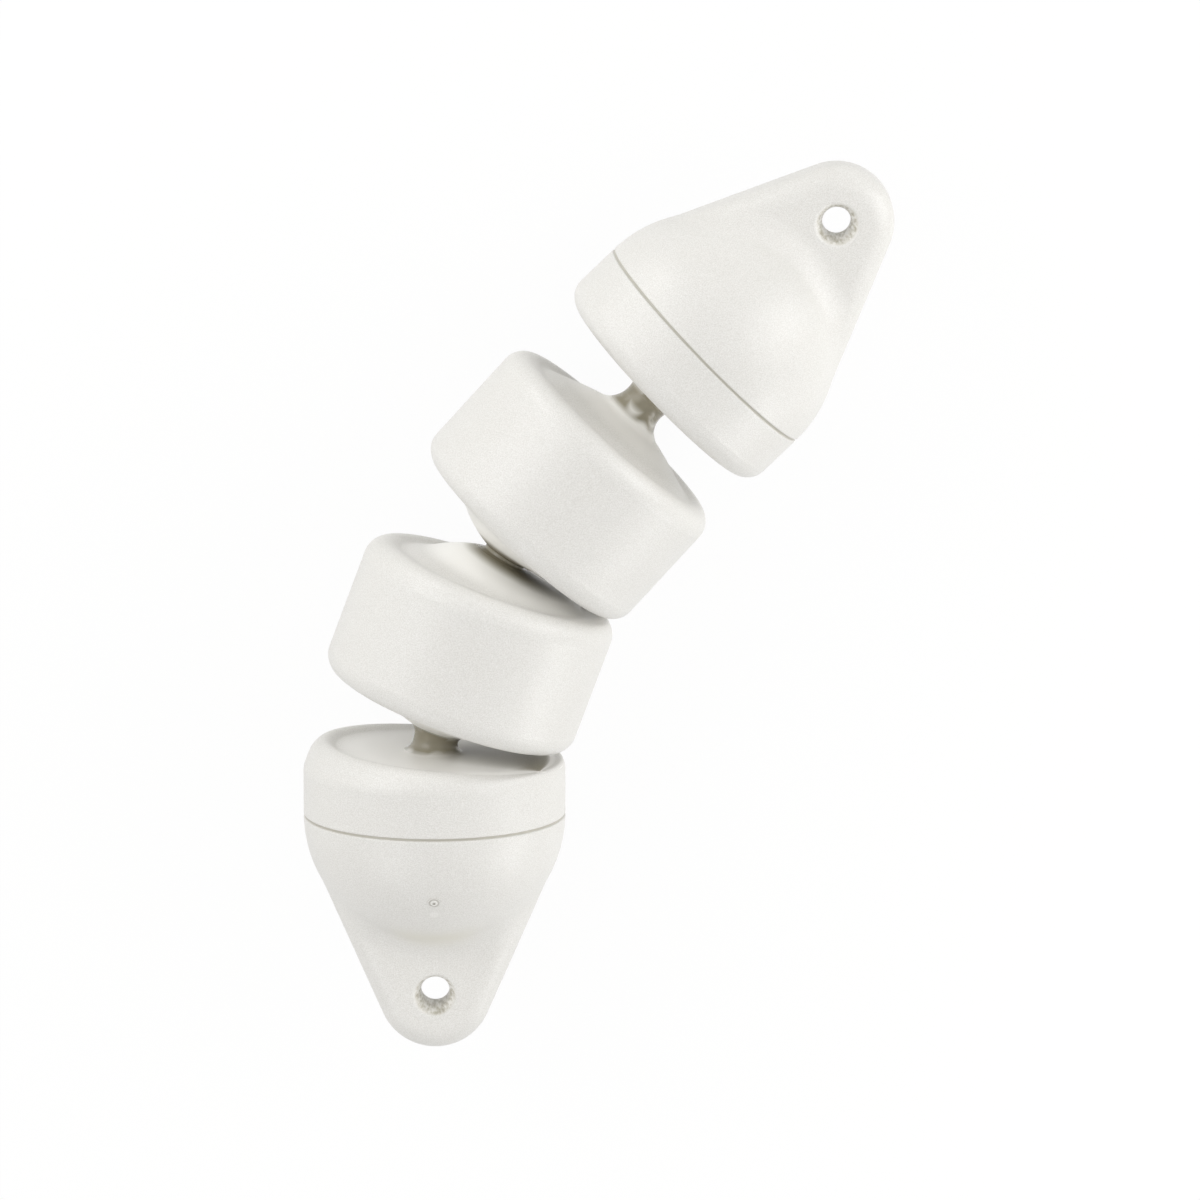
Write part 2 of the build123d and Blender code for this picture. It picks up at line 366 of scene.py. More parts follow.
def plate_distance(x, y, z):
    """Distance from the plate: the outline's distance and the height over its face, joined with a round edge."""
    q0 = plate_outline_distance(x, z) + tongue_edge_radius
    q1 = np.abs(y) - tongue_thickness / 2 + tongue_edge_radius
    outside = np.hypot(np.maximum(q0, 0), np.maximum(q1, 0))
    return np.minimum(np.maximum(q0, q1), 0) + outside - tongue_edge_radius


print("seam's middle lies", round(-float(plate_distance(0.0, 0.0, 0.0)), 1), "mm inside the plate")

# %% Round union of belly and tongue
widest_blend = 20.5
probe = 0.01
tiny = 1e-9


def cap_field(x, y, z):
    """Round union of ball a and plate b: max(k, min(a, b)) minus the length of (k-a, k-b) where these are
    positive. The rounding k shrinks where both surfaces face the same way, so smooth sides stay as they are."""
    reach = np.sqrt(x * x + y * y + z * z) + tiny
    a = reach - drum_radius
    b = plate_distance(x, y, z)
    gx = plate_distance(x + probe, y, z) - plate_distance(x - probe, y, z)
    gy = plate_distance(x, y + probe, z) - plate_distance(x, y - probe, z)
    gz = plate_distance(x, y, z + probe) - plate_distance(x, y, z - probe)
    size = np.sqrt(gx * gx + gy * gy + gz * gz) + tiny
    facing = (gx * x + gy * y + gz * z) / (size * reach)
    k = widest_blend * (1 - facing)
    return np.maximum(k, np.minimum(a, b)) - np.hypot(np.maximum(k - a, 0), np.maximum(k - b, 0))


print("field at the seam's middle:", round(float(cap_field(0.0, 0.0, 0.0)), 1), "mm")

# %% [markdown]
# ## The split between belly and eye
# Rings suit the belly, and spokes suit the eye. The two meet on one ring across the tongue, where the tongue is
# already a plain plate, and both use the same points there.

# %% Split ring
split_z = -96.0
face_count, wall_count = 69, 11
fine_points = 4001


def plate_height(x, z):
    """Half thickness of the tongue at a point of its face: full inside, a quarter circle near the outline."""
    inside = np.clip(-plate_outline_distance(x, z), 0, tongue_edge_radius)
    return edge_height + np.sqrt(tongue_edge_radius ** 2 - (tongue_edge_radius - inside) ** 2)


def even_steps(points, count):
    """Resamples a line of points at even arc length."""
    run = np.concatenate([[0], np.cumsum(np.linalg.norm(np.diff(points, axis=0), axis=1))])
    at = np.linspace(0, run[-1], count)
    return np.stack([np.interp(at, run, points[:, i]) for i in range(points.shape[1])], axis=1)


side_lean = np.arcsin((root - tip_radius) / eye_distance)
split_half = (root + split_z * np.sin(side_lean)) / np.cos(side_lean)
fine = split_half * np.cos(np.linspace(0, np.pi, fine_points))
face_line = even_steps(np.stack([fine, plate_height(fine, split_z + 0 * fine)], axis=1), face_count)
face_line[[0, -1], 0] = split_half, -split_half
face_line[[0, -1], 1] = edge_height
wall_y = np.linspace(face_line[0, 1], -face_line[0, 1], wall_count + 2)[1:-1]
left_wall = np.stack([np.full(wall_count, -split_half), wall_y], axis=1)
split_ring = np.concatenate([face_line, left_wall, -face_line, -left_wall])
split_angles = np.unwrap(np.arctan2(split_ring[:, 1], split_ring[:, 0]))
print("split ring:", len(split_ring), "points, half width", round(float(split_half), 2), "mm")

# %% [markdown]
# ## The belly's rings
# Each point of the belly lies on a ray from the cap's axis, where the joined field is zero. Halving the stretch
# that holds the zero finds it for all rays at once. On the way down the rays turn from even angles to the
# angles of the split ring.

# %% Belly from the seam to the split
ball_rows = np.radians(np.arange(2.25, 74.1, 2.05))
blend_rows = np.linspace(-80.3, -95.2, 13)
turn_start = 36
outermost = 130.0
halvings = 36


def belly_rows():
    """Rings of the belly from the seam to the split, as radius along rays from the axis, found by bisection."""
    z = np.concatenate([-seam_heights[1:], -drum_radius * np.sin(ball_rows)[1:], blend_rows])
    z = np.unique(z)[::-1]
    t = np.clip((-z - turn_start) / (-split_z - turn_start), 0, 1)[:, None]
    t = t * t * (3 - 2 * t)
    angle = (1 - t) * uniform + t * split_angles
    c, s = np.cos(angle), np.sin(angle)
    low, high = np.zeros_like(c), np.full_like(c, outermost)
    zz = z[:, None] + 0 * c
    for _ in range(halvings):
        middle = (low + high) / 2
        inside = cap_field(middle * c, middle * s, zz) < 0
        low, high = np.where(inside, middle, low), np.where(inside, high, middle)
    r = (low + high) / 2 - groove(zz)
    rows = np.stack([r * c, r * s, zz], axis=-1)
    last = np.concatenate([split_ring, np.full((columns, 1), split_z)], axis=1)
    return np.concatenate([rows, last[None]])


belly = belly_rows()
print("belly rows:", belly.shape)

# %% [markdown]
# ## The eye
# The end of the tongue is a grid of spokes round the line hole. Each spoke starts at the waist of the hole, rises
# through the trumpet mouth over a tight lip, crosses the face and runs down the rounded edge. The same grid,
# mirrored, makes the far face, and a band of side wall joins them round the tip.

# %% Outline of the eye
tip_points = 2001
tip_count = columns - face_count
tip_turn = np.linspace(-side_lean, -np.pi + side_lean, tip_points)
tip_arc = np.stack([tip_radius * np.cos(tip_turn), -eye_distance + tip_radius * np.sin(tip_turn)], axis=1)
right_corner, left_corner = np.array([[split_half, split_z]]), np.array([[-split_half, split_z]])
tip_line = even_steps(np.concatenate([right_corner, tip_arc, left_corner])[::-1], tip_count + 2)
outline_xz = np.concatenate([np.stack([face_line[:, 0], np.full(face_count, split_z)], axis=1), tip_line[1:-1]])
spoke_angle = np.arctan2(outline_xz[:, 1] + eye_distance, outline_xz[:, 0])
print("spokes:", len(spoke_angle))

# %% Profile of the line hole
line_hole_radius = 9.0
line_hole_land = 8.0
lip_radius = 2.4
flare_top = 20.2
flare = 3.6
flare_power = 1.7


def hole_profile():
    """(r, y) of the hole from its waist up: a straight land, a flare that grows with a power, a round lip."""
    y = np.concatenate([[0, 2.0, line_hole_land / 2], np.linspace(5.5, flare_top, 11)])
    rise = np.clip((y - line_hole_land / 2) / (flare_top - line_hole_land / 2), 0, 1)
    r = line_hole_radius + flare * rise ** flare_power
    slope = np.arctan(flare * flare_power / (flare_top - line_hole_land / 2))
    lip = np.linspace(np.pi - slope, np.pi / 2, 8)[1:]
    centre_r = r[-1] + lip_radius * np.cos(slope)
    centre_y = tongue_thickness / 2 - lip_radius
    lip_r = centre_r + lip_radius * np.cos(lip)
    lip_y = centre_y + lip_radius * np.sin(lip)
    y[-1] = centre_y + lip_radius * np.sin(slope)
    return np.concatenate([r, lip_r]), np.concatenate([y, lip_y])


hole_r, hole_y = hole_profile()
print("hole profile:", len(hole_r), "rows, mouth radius", round(float(hole_r[-1]), 1), "mm")

# %% Face and side wall of the eye
face_steps = 19


def eye_face():
    """Upper half of the eye, rows from the hole's waist to the outline.

    Hole rows are circles of the profile's radius. Face rows are M + (O - M)·sin(s·90°), from the mouth M to the
    outline O, at the plate's height, so that they crowd together over the rounded edge."""
    c, s = np.cos(spoke_angle), np.sin(spoke_angle)
    hx = hole_r[:, None] * c
    hz = -eye_distance + hole_r[:, None] * s
    tube = np.stack([hx, hole_y[:, None] + 0 * hx, hz], axis=-1)
    step = np.sin(np.linspace(0, np.pi / 2, face_steps + 1))[1:, None]
    fx = hx[-1] + (outline_xz[:, 0] - hx[-1]) * step
    fz = hz[-1] + (outline_xz[:, 1] - hz[-1]) * step
    face = np.stack([fx, plate_height(fx, fz), fz], axis=-1)
    face[-1, :face_count] = np.concatenate([face_line, np.full((face_count, 1), split_z)], axis=1)
    face[-1, face_count:, 1] = edge_height
    return np.concatenate([tube, face])


eye = eye_face()
wall = np.repeat(np.concatenate([eye[-1, face_count - 1:], eye[-1, :1]])[None], wall_count + 2, axis=0)
wall[:, :, 1] = np.linspace(face_line[0, 1], -face_line[0, 1], wall_count + 2)[:, None]
print("eye rows:", eye.shape, "wall:", wall.shape)

# %% [markdown]
# ## The skin as one mesh
# The grids share their border points exactly, so welding equal points closes the surface. The alternative, one
# object per body, would leave a visible cut in every neck.

# %% Grids of the caps and segments
def grid_faces(rows, cols, closed, start):
    """Quads of a grid of points: each joins a point with its neighbours in the next column and the next row."""
    i, j = np.meshgrid(np.arange(rows - 1), np.arange(cols if closed else cols - 1), indexing="ij")
    n = (j + 1) % cols
    quads = np.stack([i * cols + j, i * cols + n, (i + 1) * cols + n, (i + 1) * cols + j], axis=-1)
    return quads.reshape(-1, 4) + start


def cap_pieces(body, pivot, side):
    """Grids of one cap in the shared frame. The side is 1 where the neck lies ahead on the chain, else -1."""
    turned = turned_rows(cap_outline(pivot))
    flip = np.array([1, 1, side])
    under = eye * [1, -1, 1]
    grids = [(turned, True), (np.concatenate([turned[:1], belly]), True), (eye, True), (under, True), (wall, False)]
    return [(set_in_chain(body, points * flip), closed) for points, closed in grids]


def segment_pieces(body, back, ahead):
    """Grids of one drum segment, from its middle to the pivot behind and to the pivot ahead."""
    return [(set_in_chain(body, turned_rows(segment_outline(pivot)) * [1, 1, side]), True)
            for pivot, side in ((back, -1), (ahead, 1))]


pieces = (cap_pieces(0, cap_low, 1) + segment_pieces(1, segment_low, segment_mid)
          + segment_pieces(2, segment_mid, segment_high) + cap_pieces(3, cap_high, -1))
print("grids:", len(pieces))

# %% Weld the grids
points, quads, count = [], [], 0
for block, closed in pieces:
    rows, cols = block.shape[:2]
    points.append(block.reshape(-1, 3))
    quads.append(grid_faces(rows, cols, closed, count))
    count += rows * cols
points, quads = np.concatenate(points), np.concatenate(quads)
_, first, merged = np.unique(np.round(points, 3), axis=0, return_index=True, return_inverse=True)
skin_points, skin_quads = points[first], merged.reshape(-1)[quads]
corners = np.sort(skin_quads, axis=1)
skin_quads = skin_quads[(np.diff(corners, axis=1) > 0).all(axis=1)]
print("skin:", len(skin_points), "points,", len(skin_quads), "quads")

# %% [markdown]
# ## Where the vinyl looks different
# The vinyl's look depends on the place. Painted shade makes it dark and warm deep in a gap and on a neck, grey in
# the seam and darker in the bottom crease. Painted light makes it paler in a sheltered gap and puts bright spots on
# a neck. It is smooth on a neck and marked in a line hole. Shares from 0 to 1, worked out from distances and stored
# on the mesh, tell the material where.

# %% Shares of the gaps and necks
wide_open = 9.0
gap_half_length = 42
rim_margin, least_depth = 3, 0.5
neck_zone, neck_zone_end, neck_half_length = 16, 19, 30


def along_and_out(points, start, direction):
    """Lengths along a direction from its start, and the distances out from that line."""
    away = points - start
    along = away @ direction
    return along, np.linalg.norm(away - along[:, None] * direction, axis=1)


def gap_openness(points):
    """How open the space over a point is: the width of the nearest neck gap there over the depth below the rims."""
    best = np.full(len(points), wide_open)
    for pivot, split in zip(pivots, splits):
        along, out = along_and_out(points, pivot, split)
        depth = np.maximum(drum_radius - rim_margin - out, least_depth)
        best = np.minimum(best, np.where(np.abs(along) < gap_half_length, 2 * np.abs(along) / depth, wide_open))
    return best


def neck_share(points):
    """1 on the necks, within 16 mm of a neck's own line, falling off to 0 at 19 mm."""
    best = np.zeros(len(points))
    for pivot, split in zip(pivots, splits):
        along, out = along_and_out(points, pivot, split)
        fall = np.clip((neck_zone_end - out) / (neck_zone_end - neck_zone), 0, 1)
        best = np.maximum(best, fall * (np.abs(along) < neck_half_length))
    return best


openness, on_neck = gap_openness(skin_points), neck_share(skin_points)
print("points on the necks:", int((on_neck > 0).sum()), "deep in a gap:", int((openness < 0.3).sum()))

# %% Shares of the seams, line holes and crease
seam_half_width, seam_skin = 0.8, 4
bore_zone, bore_fall = 12, 0.7
crease_radius, crease_width, crease_half_length = 73, 6, 25


def seam_share(points):
    """1 in the seam groove of a cap and 0 outside it: a flat bell of the distance from the seam's plane."""
    best = np.zeros(len(points))
    for body in (0, 3):
        along, out = along_and_out(points, origins[body], axes[body])
        best = np.maximum(best, np.exp(-(along / seam_half_width) ** 4) * (out > drum_radius - seam_skin))
    return best


def bore_share(points):
    """1 in the bore of a line hole, within 12 mm of its axis, falling off as a bell 0.7 mm wide over the lip."""
    best = np.zeros(len(points))
    for body, side in ((0, 1), (3, -1)):
        away = points - origins[body]
        out = np.hypot(away @ np.cross(up, axes[body]), side * (away @ axes[body]) + eye_distance)
        best = np.maximum(best, np.where(out < bore_zone, 1.0, np.exp(-((out - bore_zone) / bore_fall) ** 2)))
    return best


# The material paints shade by this share: the bottom crease is painted darker.
def crease_shade_share(points):
    """1 in the middle third of the bottom cap's crease, falling off as a bell 6 mm wide towards belly and tongue."""
    away = points - origins[0]
    x, z = away @ np.cross(up, axes[0]), away @ axes[0]
    bell = ((np.hypot(x, z) - crease_radius) / crease_width) ** 2
    return np.exp(-bell - (x / crease_half_length) ** 4) * (z < 0)


shares = [("openness", openness), ("seam", seam_share(skin_points)), ("neck", on_neck),
          ("bore", bore_share(skin_points)), ("crease", crease_shade_share(skin_points))]
print("shares on the skin:", [label for label, _ in shares])

# %% [markdown]
# ## The skin in the scene
# The points become one smooth mesh that stands for the moulding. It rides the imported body, so that it lies where
# the CAD solid lies.

# %% Make the skin
def make_mesh(name, points, faces, attributes=()):
    """Mesh object from points in millimetres and faces, at the origin, smooth, with its faces turned outwards."""
    mesh = bpy.data.meshes.new(name)
    mesh.from_pydata(points * 0.001, [], faces.tolist())
    for label, values in attributes:
        layer = mesh.attributes.new(label, "FLOAT", "POINT")
        layer.data.foreach_set("value", values.astype(np.float32))
    work = bmesh.new()
    work.from_mesh(mesh)
    bmesh.ops.recalc_face_normals(work, faces=work.faces)
    open_edges = sum(1 for edge in work.edges if len(edge.link_faces) != 2)
    volume = work.calc_volume(signed=True)
    work.to_mesh(mesh)
    work.free()
    mesh.polygons.foreach_set("use_smooth", np.ones(len(mesh.polygons), dtype=bool))
    piece = bpy.data.objects.new(name, mesh)
    bpy.context.scene.collection.objects.link(piece)
    print(name, "faces", len(mesh.polygons), "open edges", open_edges, "volume", round(volume * 1e6, 1), "cm3")
    return piece


skin = make_mesh("fender_skin", skin_points, skin_quads, shares)
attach(skin, "root")
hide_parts("fender_body")

# %% [markdown]
# ## The valve
# The valve is a small rubber plug in a seat in the bottom cap's belly. Only its flange, its low dome and the
# needle hole show. It is a turned outline, set square on the belly. Each row also says how much painted shade it
# gets, darkest in the needle hole and lighter in the grooves by the flange and dome.

# %% Outline of the valve plug
valve_turns = 48
valve_outline = np.array([(4.15, -0.9), (4.15, 0.06), (4.05, 0.24), (3.85, 0.3), (3.6, 0.24), (3.45, 0.06),
                          (2.55, 0.0), (2.4, 0.14), (2.25, 0.4), (1.9, 0.6), (1.4, 0.7), (0.95, 0.68),
                          (0.75, 0.5), (0.6, 0.2), (0.5, -0.9)])
# Painted shade for each row: darkest in the needle hole, lighter in the grooves by the flange and dome.
valve_shade_rows = np.array([0.4, 0.4, 0.1, 0, 0.1, 0.3, 0.6, 0.4, 0.1, 0, 0, 0.2, 0.9, 1, 1])


def turned_plug(outline):
    """Closed ring of a turned outline: each (r, h) goes round the axis, and the last row joins the first."""
    angle = np.linspace(0, 2 * np.pi, valve_turns, endpoint=False)
    r, h = outline[:, :1], outline[:, 1:]
    rings = np.stack([r * np.cos(angle), r * np.sin(angle), h + 0 * angle], axis=-1)
    return np.concatenate([rings, rings[:1]])


rings = turned_plug(valve_outline)
print("valve rings:", rings.shape)

# %% Set the valve on the belly
valve_angle = 31.0
tilt = np.radians(valve_angle)
outward = np.cos(tilt) * up - np.sin(tilt) * axes[0]
across = np.cross(up, axes[0])
beside = np.cross(outward, across)
valve_centre = bottom_seam + drum_radius * outward
placed = valve_centre + rings[..., :1] * across + rings[..., 1:2] * beside + rings[..., 2:] * outward
placed = placed.reshape(-1, 3)
_, first, merged = np.unique(np.round(placed, 4), axis=0, return_index=True, return_inverse=True)
plug_faces = merged.reshape(-1)[grid_faces(len(rings), valve_turns, True, 0)]
valve_recess_shade = np.repeat(np.append(valve_shade_rows, valve_shade_rows[0]), valve_turns)[first]
valve = make_mesh("valve_plug", placed[first], plug_faces, [("valve_recess_shade", valve_recess_shade)])
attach(valve, "root")
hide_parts("inflation_valve")

# %% [markdown]
# ## Helpers for the materials
# A material here is a chain of colours: each step lays one colour over the last by a share from 0 to 1. The
# helpers add one node each, set it, link it, and give back the socket that the next step needs.

# %% Nodes, colours and links
def new_material(name):
    """Material with an empty node tree, and that tree."""
    material = bpy.data.materials.new(name)
    material.use_nodes = True
    material.node_tree.nodes.clear()
    return material, material.node_tree


def add(tree, kind, **settings):
    """New shader node with its settings; an input is named by its socket."""
    node = tree.nodes.new(kind)
    for key, value in settings.items():
        if key in node.inputs:
            node.inputs[key].default_value = value
        else:
            setattr(node, key, value)
    return node


def linear(r, g, b):
    """Scene-linear colour of an sRGB colour: ((c + 0.055) / 1.055) to the power 2.4."""
    return tuple(((c + 0.055) / 1.055) ** 2.4 for c in (r, g, b)) + (1.0,)


print("mid grey in linear light:", round(linear(0.5, 0.5, 0.5)[0], 3))


# %% Shares, textures and blends as sockets
def share(tree, label):
    """Socket of a share that is stored on the mesh."""
    return add(tree, "ShaderNodeAttribute", attribute_name=label).outputs["Fac"]


def texture(tree, kind, place, result, **settings):
    """Socket of a texture that is read at a place."""
    node = add(tree, kind, **settings)
    tree.links.new(place, node.inputs["Vector"])
    return node.outputs[result]


def combine(tree, operation, one, other):
    """Socket of two values combined by one operation, such as MAXIMUM or MULTIPLY."""
    node = add(tree, "ShaderNodeMath", operation=operation)
    tree.links.new(one, node.inputs[0])
    tree.links.new(other, node.inputs[1])
    return node.outputs["Value"]


def remap(tree, value, start, end, low=0.0, high=1.0, curve="LINEAR"):
    """Socket of a value taken from start..end to low..high and held at both ends."""
    node = add(tree, "ShaderNodeMapRange", interpolation_type=curve)
    for name, setting in (("From Min", start), ("From Max", end), ("To Min", low), ("To Max", high)):
        node.inputs[name].default_value = setting
    tree.links.new(value, node.inputs["Value"])
    return node.outputs["Result"]


def blend(tree, below, over, factor):
    """Socket of a colour that goes from the one below, a colour or a socket, to the one over it by a factor."""
    node = add(tree, "ShaderNodeMix", data_type="RGBA")
    if isinstance(below, tuple):
        node.inputs["A"].default_value = below
    else:
        tree.links.new(below, node.inputs["A"])
    node.inputs["B"].default_value = over
    tree.links.new(factor, node.inputs["Factor"])
    return node.outputs["Result"]


print("material helpers: share, texture, combine, remap, blend")

# %% [markdown]
# ## Vinyl: tone and grain
# The vinyl is white with a warm tinge. A slow cloud keeps it from looking printed, and a fine sandblast grain
# from the mould speckles it. The same grain, as a bump, breaks up its highlights.

# %% Tone and grain
vinyl, tree = new_material("white_vinyl")
place = add(tree, "ShaderNodeTexCoord").outputs["Object"]
cloud = texture(tree, "ShaderNodeTexNoise", place, "Fac", Scale=38.0, Detail=3.0, Roughness=0.5)
tone = blend(tree, linear(0.937, 0.933, 0.921), linear(0.922, 0.916, 0.899), cloud)
grain = texture(tree, "ShaderNodeTexNoise", place, "Fac", Scale=1500.0, Detail=2.0, Roughness=0.6)
speck = remap(tree, grain, 0.3, 0.7, 0.0, 0.8)
dusty = blend(tree, tone, linear(0.82, 0.81, 0.785), speck)
print("vinyl nodes for tone and grain:", len(tree.nodes))

# %% [markdown]
# ## Vinyl: painted light in sheltered places and painted shade in the crease
# The faces inside a gap and the line holes get little light and would turn out too dark, so the vinyl is painted
# paler there, a painted light that stands in for light bouncing in. The crease under the bottom belly is painted a
# little darker, a painted shade, as in the photograph.

# %% Painted light in sheltered places and painted shade in the crease
opened, in_bore = share(tree, "openness"), share(tree, "bore")
sheltered = remap(tree, opened, 1.5, 0.45, curve="SMOOTHSTEP")
# Painted light: the vinyl is painted paler in sheltered gaps and in the line holes, where little light reaches.
painted_gap_light = blend(tree, dusty, linear(0.99, 0.985, 0.97), combine(tree, "MAXIMUM", sheltered, in_bore))
# Painted shade: the crease under the bottom belly is painted darker.
with_crease_shade = blend(tree, painted_gap_light, linear(0.885, 0.875, 0.835), share(tree, "crease"))
print("vinyl nodes with shelter and crease:", len(tree.nodes))

# %% [markdown]
# ## Vinyl: marks
# The photograph shows streaks inside the line holes, which the mould's core may have left, and a pale round mark
# below the valve, where the vinyl may have entered the mould. The seam groove is painted greyer than the wall beside
# it, a painted shade in the groove.

# %% Streaks, gate mark and painted seam shade
stretch = add(tree, "ShaderNodeMapping", Scale=(1.0, 1.0, 0.22))
tree.links.new(place, stretch.inputs["Vector"])
flash = texture(tree, "ShaderNodeTexNoise", stretch.outputs["Vector"], "Fac", Scale=420.0, Detail=3.0, Roughness=0.6)
streak = remap(tree, flash, 0.38, 0.66, 0.0, 0.9)
streaked = blend(tree, with_crease_shade, linear(0.72, 0.70, 0.63), combine(tree, "MULTIPLY", streak, in_bore))
gate_angle = np.radians(38.6)
gate = (bottom_seam + drum_radius * (np.cos(gate_angle) * up - np.sin(gate_angle) * axes[0])) * 0.001
from_gate = add(tree, "ShaderNodeVectorMath", operation="DISTANCE")
from_gate.inputs[1].default_value = gate
tree.links.new(place, from_gate.inputs[0])
gate_ring = remap(tree, from_gate.outputs["Value"], 0.0032, 0.0020, 0.0, 0.3, "SMOOTHSTEP")
marked = blend(tree, streaked, linear(0.97, 0.965, 0.95), gate_ring)
# Painted shade: the seam groove is painted grey.
with_seam_shade = blend(tree, marked, linear(0.74, 0.725, 0.68), share(tree, "seam"))
print("gate mark at", np.round(gate, 3), "m")

# %% [markdown]
# ## Vinyl: painted shade in deep gaps and on necks, painted highlights on necks
# Deep in the gaps, where light bounces from vinyl to vinyl and turns warm and dark, the vinyl is painted warm and
# dark, a painted shade. The necks are smooth and painted dark too, with soft bright spots. In the photograph these
# are highlights. Here they are painted highlights, made as a pattern of soft cells.

# %% Painted shade in deep gaps and on necks, painted highlights, and the finished vinyl
neck = share(tree, "neck")
deep = remap(tree, opened, 0.30, 0.06, curve="SMOOTHSTEP")
# Painted highlights: soft cells leave bright spots in the painted shade on the necks.
highlight_cells = texture(tree, "ShaderNodeTexVoronoi", place, "Distance", Scale=72.0, Randomness=0.8)
shade_between_highlights = remap(tree, highlight_cells, 0.24, 0.62, 0.1, 1.0, "SMOOTHSTEP")
painted_shade_share = combine(tree, "MAXIMUM", combine(tree, "MULTIPLY", neck, shade_between_highlights), deep)
# Painted shade: deep gaps and necks are painted warm and dark.
with_gap_shade = blend(tree, with_seam_shade, linear(0.57, 0.545, 0.47), painted_shade_share)
bump = add(tree, "ShaderNodeBump", Strength=0.8, Distance=0.0002)
shader = add(tree, "ShaderNodeBsdfPrincipled", **{"Specular IOR Level": 0.65})
output = add(tree, "ShaderNodeOutputMaterial")
tree.links.new(grain, bump.inputs["Height"])
tree.links.new(bump.outputs["Normal"], shader.inputs["Normal"])
tree.links.new(remap(tree, neck, 0.0, 1.0, 0.38, 0.16), shader.inputs["Roughness"])
tree.links.new(with_gap_shade, shader.inputs["Base Color"])
tree.links.new(shader.outputs["BSDF"], output.inputs["Surface"])
skin.data.materials.append(vinyl)
print("vinyl nodes in all:", len(tree.nodes))

# %% [markdown]
# ## Valve rubber
# The plug is a softer, slightly greyer white. Its needle hole and the grooves beside its flange and dome are
# painted darker, a painted shade in these recesses, where the mesh says so.

# %% Rubber of the valve
rubber, tree = new_material("valve_rubber")
place = add(tree, "ShaderNodeTexCoord").outputs["Object"]
speck = texture(tree, "ShaderNodeTexNoise", place, "Fac", Scale=900.0, Detail=2.0)
tone = blend(tree, linear(0.92, 0.915, 0.895), linear(0.89, 0.885, 0.865), speck)
# Painted shade: the needle hole and the grooves of the valve are painted darker.
shaded_rubber = blend(tree, tone, linear(0.60, 0.58, 0.54), share(tree, "valve_recess_shade"))
shader = add(tree, "ShaderNodeBsdfPrincipled", Roughness=0.5)
output = add(tree, "ShaderNodeOutputMaterial")
tree.links.new(shaded_rubber, shader.inputs["Base Color"])
tree.links.new(shader.outputs["BSDF"], output.inputs["Surface"])
valve.data.materials.append(rubber)
print("materials:", [m.name for m in bpy.data.materials])

# %% [markdown]
# ## Floor
# The fender lies on a pale floor. The floor shows white to camera, mirrored and transmitted rays, with a little of
# its own shading mixed in, which keeps the fender's faint shadow. To all other rays it is a plain matt floor.

# %% Pale floor
floor_half = 3.0
lit_share = 0.08
floor_material, tree = new_material("pale_floor")
path = add(tree, "ShaderNodeLightPath").outputs
seen = combine(tree, "MAXIMUM", path["Is Camera Ray"], path["Is Glossy Ray"])
seen = combine(tree, "MAXIMUM", seen, path["Is Transmission Ray"])
most = add(tree, "ShaderNodeMath", operation="MULTIPLY")
most.inputs[1].default_value = 1 - lit_share
lit = add(tree, "ShaderNodeBsdfDiffuse", Color=linear(0.80, 0.80, 0.79))
glow = add(tree, "ShaderNodeEmission", Strength=1.03)
mix = add(tree, "ShaderNodeMixShader")
output = add(tree, "ShaderNodeOutputMaterial")
tree.links.new(seen, most.inputs[0])
tree.links.new(most.outputs["Value"], mix.inputs["Fac"])
tree.links.new(lit.outputs["BSDF"], mix.inputs[1])
tree.links.new(glow.outputs["Emission"], mix.inputs[2])
tree.links.new(mix.outputs["Shader"], output.inputs["Surface"])
floor_mesh = bpy.data.meshes.new("floor")
floor_corners = [(x * floor_half, y * floor_half, 0) for x, y in ((-1, -1), (1, -1), (1, 1), (-1, 1))]
floor_mesh.from_pydata(floor_corners, [], [(0, 1, 2, 3)])
floor_mesh.materials.append(floor_material)
floor = bpy.data.objects.new("floor", floor_mesh)
bpy.context.scene.collection.objects.link(floor)
print("floor:", 2 * floor_half, "m wide")

# %% [markdown]
# ## World
# The world gives an even fill from all sides and shows white only to the camera. If mirrored rays saw it white
# too, the tops of the drums would clip to white from the side.

# %% World
world = bpy.data.worlds.new("studio")
bpy.context.scene.world = world
world.use_nodes = True
tree = world.node_tree
tree.nodes.clear()
fill = add(tree, "ShaderNodeBackground", Color=(1, 1, 1, 1), Strength=0.64)
white = add(tree, "ShaderNodeBackground", Color=(1, 1, 1, 1), Strength=1.0)
mix = add(tree, "ShaderNodeMixShader")
world_output = add(tree, "ShaderNodeOutputWorld")
tree.links.new(add(tree, "ShaderNodeLightPath").outputs["Is Camera Ray"], mix.inputs["Fac"])
tree.links.new(fill.outputs["Background"], mix.inputs[1])
tree.links.new(white.outputs["Background"], mix.inputs[2])
tree.links.new(mix.outputs["Shader"], world_output.inputs["Surface"])
print("world nodes:", len(tree.nodes))

# %% [markdown]
# ## Camera
# The view was fitted to the photograph outside this notebook: two small turns from straight down, a roll, the
# distance, and the scale in pixels per millimetre. One point of the fender is pinned to its place in the view.

# %% Camera
picture_width = 1200
sensor_width = 36.0
turn_x, turn_y, roll = np.radians(10.9542), np.radians(0.5102), np.radians(0.0499)
far = 6019.38
scale_at_middle = 1.592055
shift = (1.616, -4.91)
place_in_view = np.array([-105.326, -139.948, 0.0])
pinned = np.array([-102.763, -132.462, 82.5])


def turn_matrix(axis, angle):
    """Rotation about x, y or z by the angle, as a 3 by 3 array."""
    return np.array(Matrix.Rotation(angle, 3, axis))


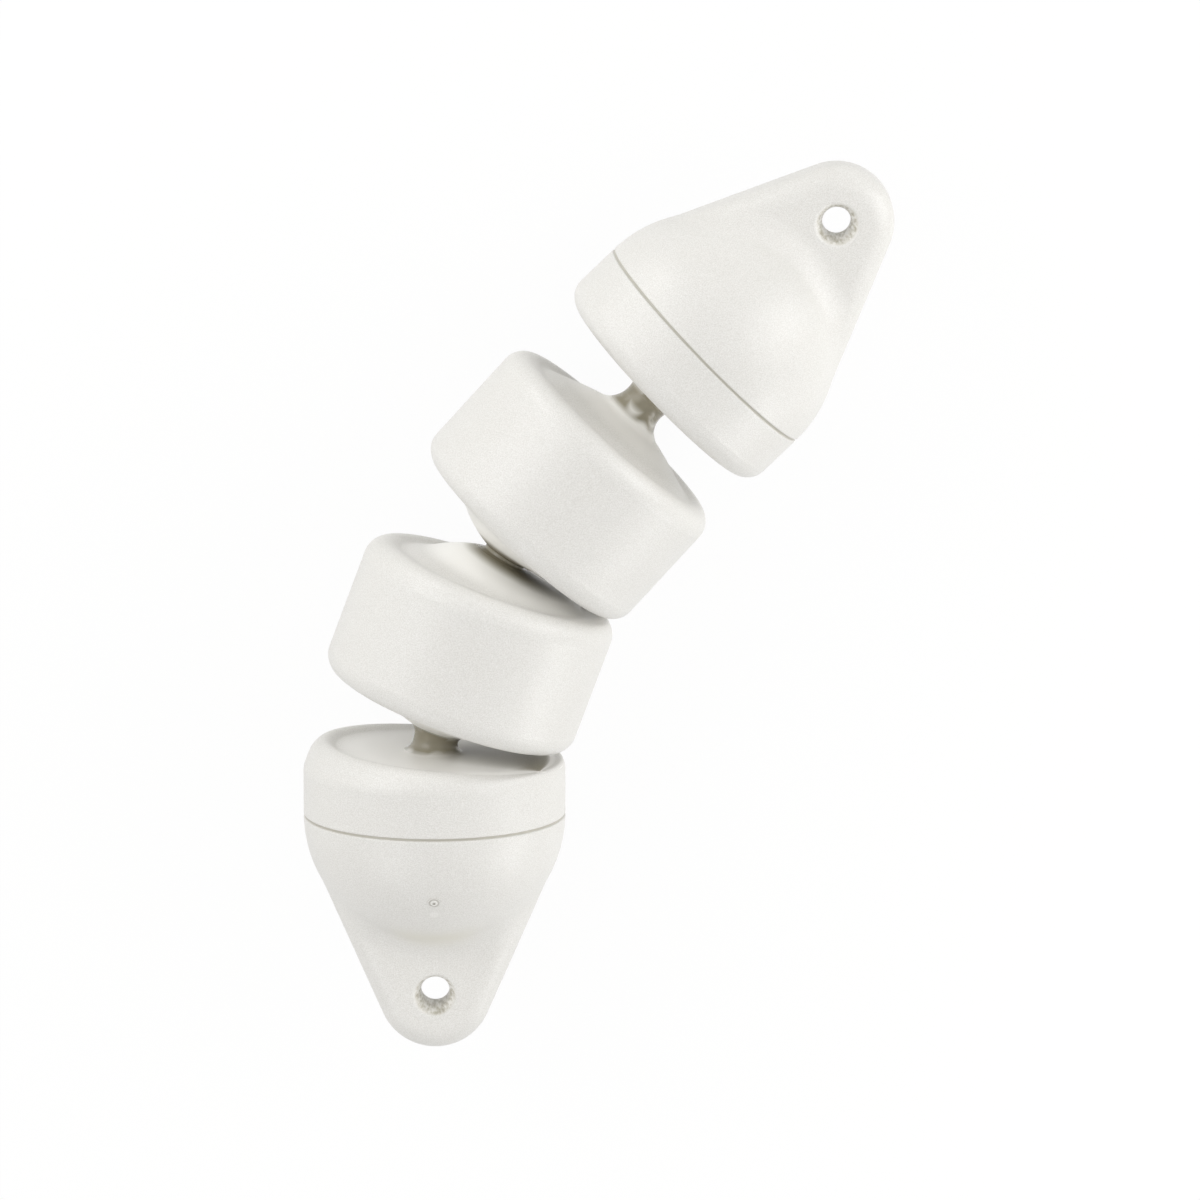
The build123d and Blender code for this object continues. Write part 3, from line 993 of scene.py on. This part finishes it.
roll_matrix = turn_matrix("Z", roll)
view_matrix = turn_matrix("X", turn_x) @ turn_matrix("Y", turn_y)
eye_point = roll_matrix.T @ (view_matrix.T @ np.array([0, 0, far]) - place_in_view) + pinned
facing = roll_matrix.T @ view_matrix.T
pose = np.eye(4)
pose[:3, :3] = facing
pose[:3, 3] = eye_point * 0.001
camera_data = bpy.data.cameras.new("camera")
camera_data.sensor_fit = "HORIZONTAL"
camera_data.sensor_width = sensor_width
camera_data.lens = scale_at_middle * far / picture_width * sensor_width
camera_data.shift_x = -shift[0] / picture_width
camera_data.shift_y = shift[1] / picture_width
camera_data.clip_end = 20.0
camera = bpy.data.objects.new("camera", camera_data)
bpy.context.scene.collection.objects.link(camera)
camera.matrix_world = Matrix(pose.tolist())
bpy.context.scene.camera = camera
print("camera at", np.round(eye_point * 0.001, 3), "lens", round(camera_data.lens, 1))

# %% [markdown]
# ## Lamps
# Seven round soft lamps stand about the fender: two large ones that light its drums from both sides, and five
# small ones that each lighten one stretch. Every lamp is placed along the camera's own axes, to the right, up in
# the picture and towards the camera, because its work is judged in that picture.

# %% Lamps
lamps = {"left_lamp": (-1.55, 0.6, 1.4, 1.5, 12.6), "right_lamp": (1.45, 0.3, 1.0, 1.2, 7.9),
         "left_side_lamp": (-1.0, 0.35, 0.1, 0.4, 0.3), "top_left_lamp": (-0.45, 0.8, 0.35, 0.36, 1.6),
         "top_right_lamp": (0.9, 0.4, 0.25, 0.36, 1.4), "low_right_lamp": (0.76, -0.6, 0.14, 0.36, 2.0),
         "low_left_lamp": (-0.55, -0.7, 0.4, 0.3, 0.9)}
middle = np.array([0.0, 0.0, 0.08])


def lamp(name, right, above, toward, size, strength):
    """Round soft lamp that looks at the fender's middle, offset from it by lengths along the camera's axes."""
    offset = facing @ np.array([right, above, toward])
    data = bpy.data.lights.new(name, "AREA")
    data.shape = "DISK"
    data.size = size
    data.energy = strength
    light = bpy.data.objects.new(name, data)
    bpy.context.scene.collection.objects.link(light)
    light.location = middle + offset
    light.rotation_euler = Vector(-offset).to_track_quat("-Z", "Y").to_euler()


for name, settings in lamps.items():
    lamp(name, *settings)
print("lamps:", len(lamps), "with", round(sum(s[-1] for s in lamps.values()), 1), "W in all")

# %% [markdown]
# ## Colour management and the end
# The picture is shown through the Standard view transform.

# %% Colour management and the end
import json

bpy.context.scene.view_settings.view_transform = "Standard"
